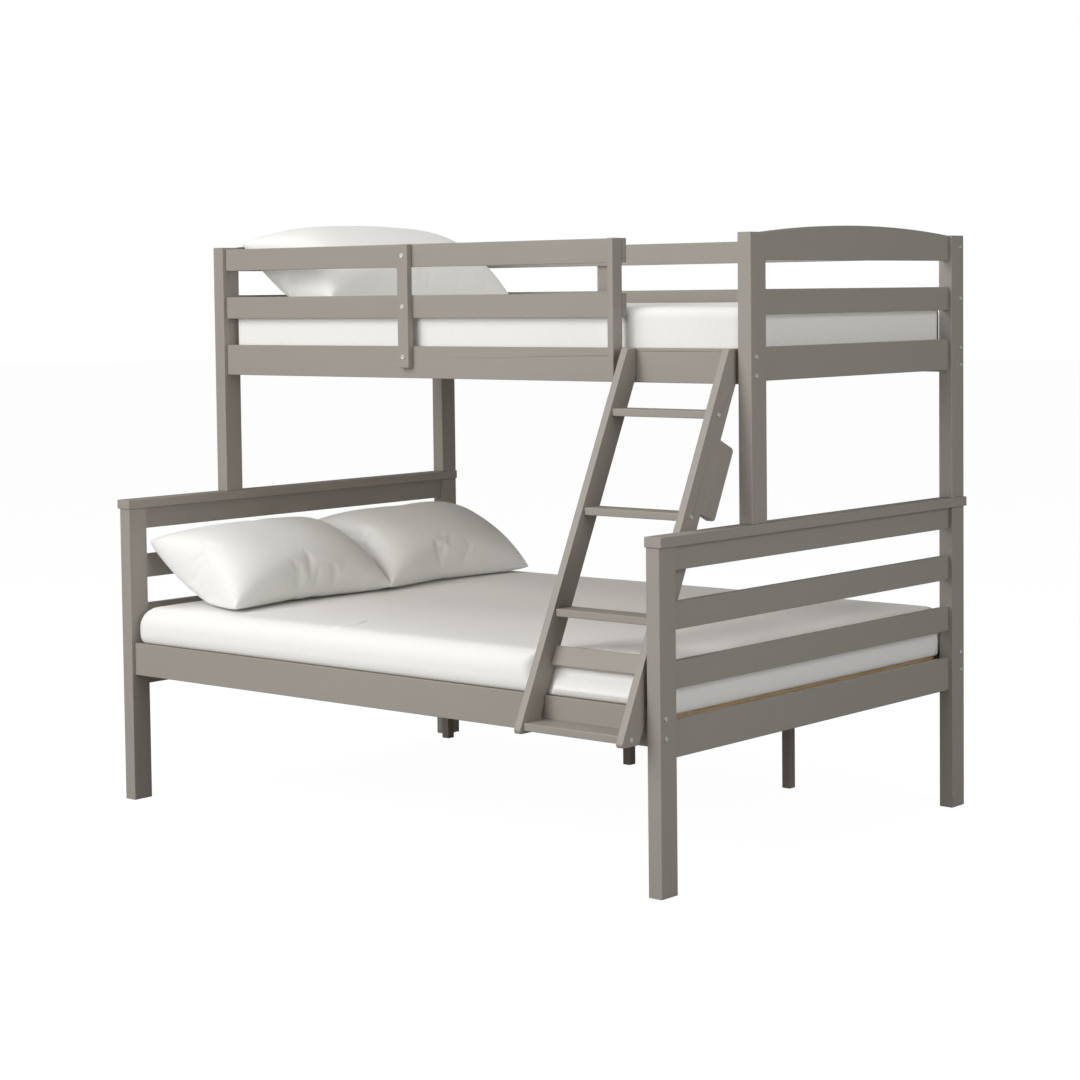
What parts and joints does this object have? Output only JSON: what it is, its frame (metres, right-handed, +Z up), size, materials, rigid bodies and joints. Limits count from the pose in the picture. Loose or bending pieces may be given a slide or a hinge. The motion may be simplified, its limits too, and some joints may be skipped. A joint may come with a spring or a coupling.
{
  "type": "bunk bed with ladder",
  "caption": "Wooden bunk bed: a narrow upper bed with guard rails stands on the capped end frames of a wide lower bed, with a sloped ladder, mattresses and pillows.",
  "frame": {"origin": "on the floor, under the middle of the object's bounding box", "axes": "+X along the bed from its head (pillows) to its foot, +Y from the ladder side to the back, +Z up"},
  "size_m": [2.046, 1.5409, 1.6841],
  "materials": {
    "painted_wood": "satin taupe-grey paint",
    "bare_wood": "planed, unpainted",
    "support_wood": "matt taupe-brown paint",
    "zinc_steel": "zinc plated",
    "mattress_cover": "white cotton cover",
    "pillow_cotton": "white cotton"
  },
  "bodies": {
    "bed_frame": {"lower_post_head_front": "painted_wood", "lower_post_head_back": "painted_wood", "lower_post_foot_front": "painted_wood", "lower_post_foot_back": "painted_wood", "cap_board_head": "painted_wood", "cap_board_foot": "painted_wood", "lower_top_rail_head": "painted_wood", "lower_top_rail_foot": "painted_wood", "lower_high_slat_head": "painted_wood", "lower_low_slat_head": "painted_wood", "lower_high_slat_foot": "painted_wood", "lower_low_slat_foot": "painted_wood", "lower_bottom_rail_head": "painted_wood", "lower_bottom_rail_foot": "painted_wood", "lower_side_rail_front": "painted_wood", "lower_side_rail_back": "painted_wood", "upper_post_head_front": "painted_wood", "upper_post_head_back": "painted_wood", "upper_post_foot_front": "painted_wood", "upper_post_foot_back": "painted_wood", "arched_rail_head": "painted_wood", "arched_rail_foot": "painted_wood", "upper_mid_rail_head": "painted_wood", "upper_mid_rail_foot": "painted_wood", "upper_bottom_rail_head": "painted_wood", "upper_bottom_rail_foot": "painted_wood", "upper_side_rail_front": "painted_wood", "upper_side_rail_back": "painted_wood", "guard_top_rail_front": "painted_wood", "guard_mid_rail_front": "painted_wood", "guard_top_rail_back": "painted_wood", "guard_mid_rail_back": "painted_wood", "guard_upright_middle": "painted_wood", "guard_upright_end": "painted_wood", "guard_upright_back": "painted_wood", "ladder_stile_head": "painted_wood", "ladder_stile_foot": "painted_wood", "ladder_tread_bottom": "painted_wood", "ladder_tread_second": "painted_wood", "ladder_tread_third": "painted_wood", "ladder_tread_top": "painted_wood", "ladder_stretcher": "painted_wood", "ladder_spacer_block": "painted_wood", "lower_cleats": "bare_wood", "upper_cleats": "bare_wood", "lower_slats": "bare_wood", "upper_slats": "bare_wood", "support_beam": "support_wood", "support_legs": "support_wood", "bed_bolts": "zinc_steel", "barrel_nuts": "zinc_steel", "guard_bolts": "zinc_steel", "ladder_bolts": "zinc_steel", "ladder_mount_bolts": "zinc_steel", "post_dowels": "bare_wood"},
    "lower_mattress": {"lower_mattress": "mattress_cover"},
    "lower_pillow_front": {"lower_pillow_front": "pillow_cotton"},
    "lower_pillow_back": {"lower_pillow_back": "pillow_cotton"},
    "upper_mattress": {"upper_mattress": "mattress_cover"},
    "upper_pillow": {"upper_pillow": "pillow_cotton"}
  },
  "joints": [
    {"name": "lower_mattress_lift", "type": "slide", "parent": "bed_frame", "child": "lower_mattress", "axis": [0, 0, 1], "range_m": [0, 0.01]},
    {"name": "lower_pillow_front_lift", "type": "slide", "parent": "lower_mattress", "child": "lower_pillow_front", "axis": [0, 0, 1], "range_m": [0, 0.2]},
    {"name": "lower_pillow_back_lift", "type": "slide", "parent": "lower_mattress", "child": "lower_pillow_back", "axis": [0, 0, 1], "range_m": [0, 0.2]},
    {"name": "upper_mattress_lift", "type": "slide", "parent": "bed_frame", "child": "upper_mattress", "axis": [0, 0, 1], "range_m": [0, 0.2]},
    {"name": "upper_pillow_lift", "type": "slide", "parent": "upper_mattress", "child": "upper_pillow", "axis": [0, 0, 1], "range_m": [0, 0.2]}
  ]
}
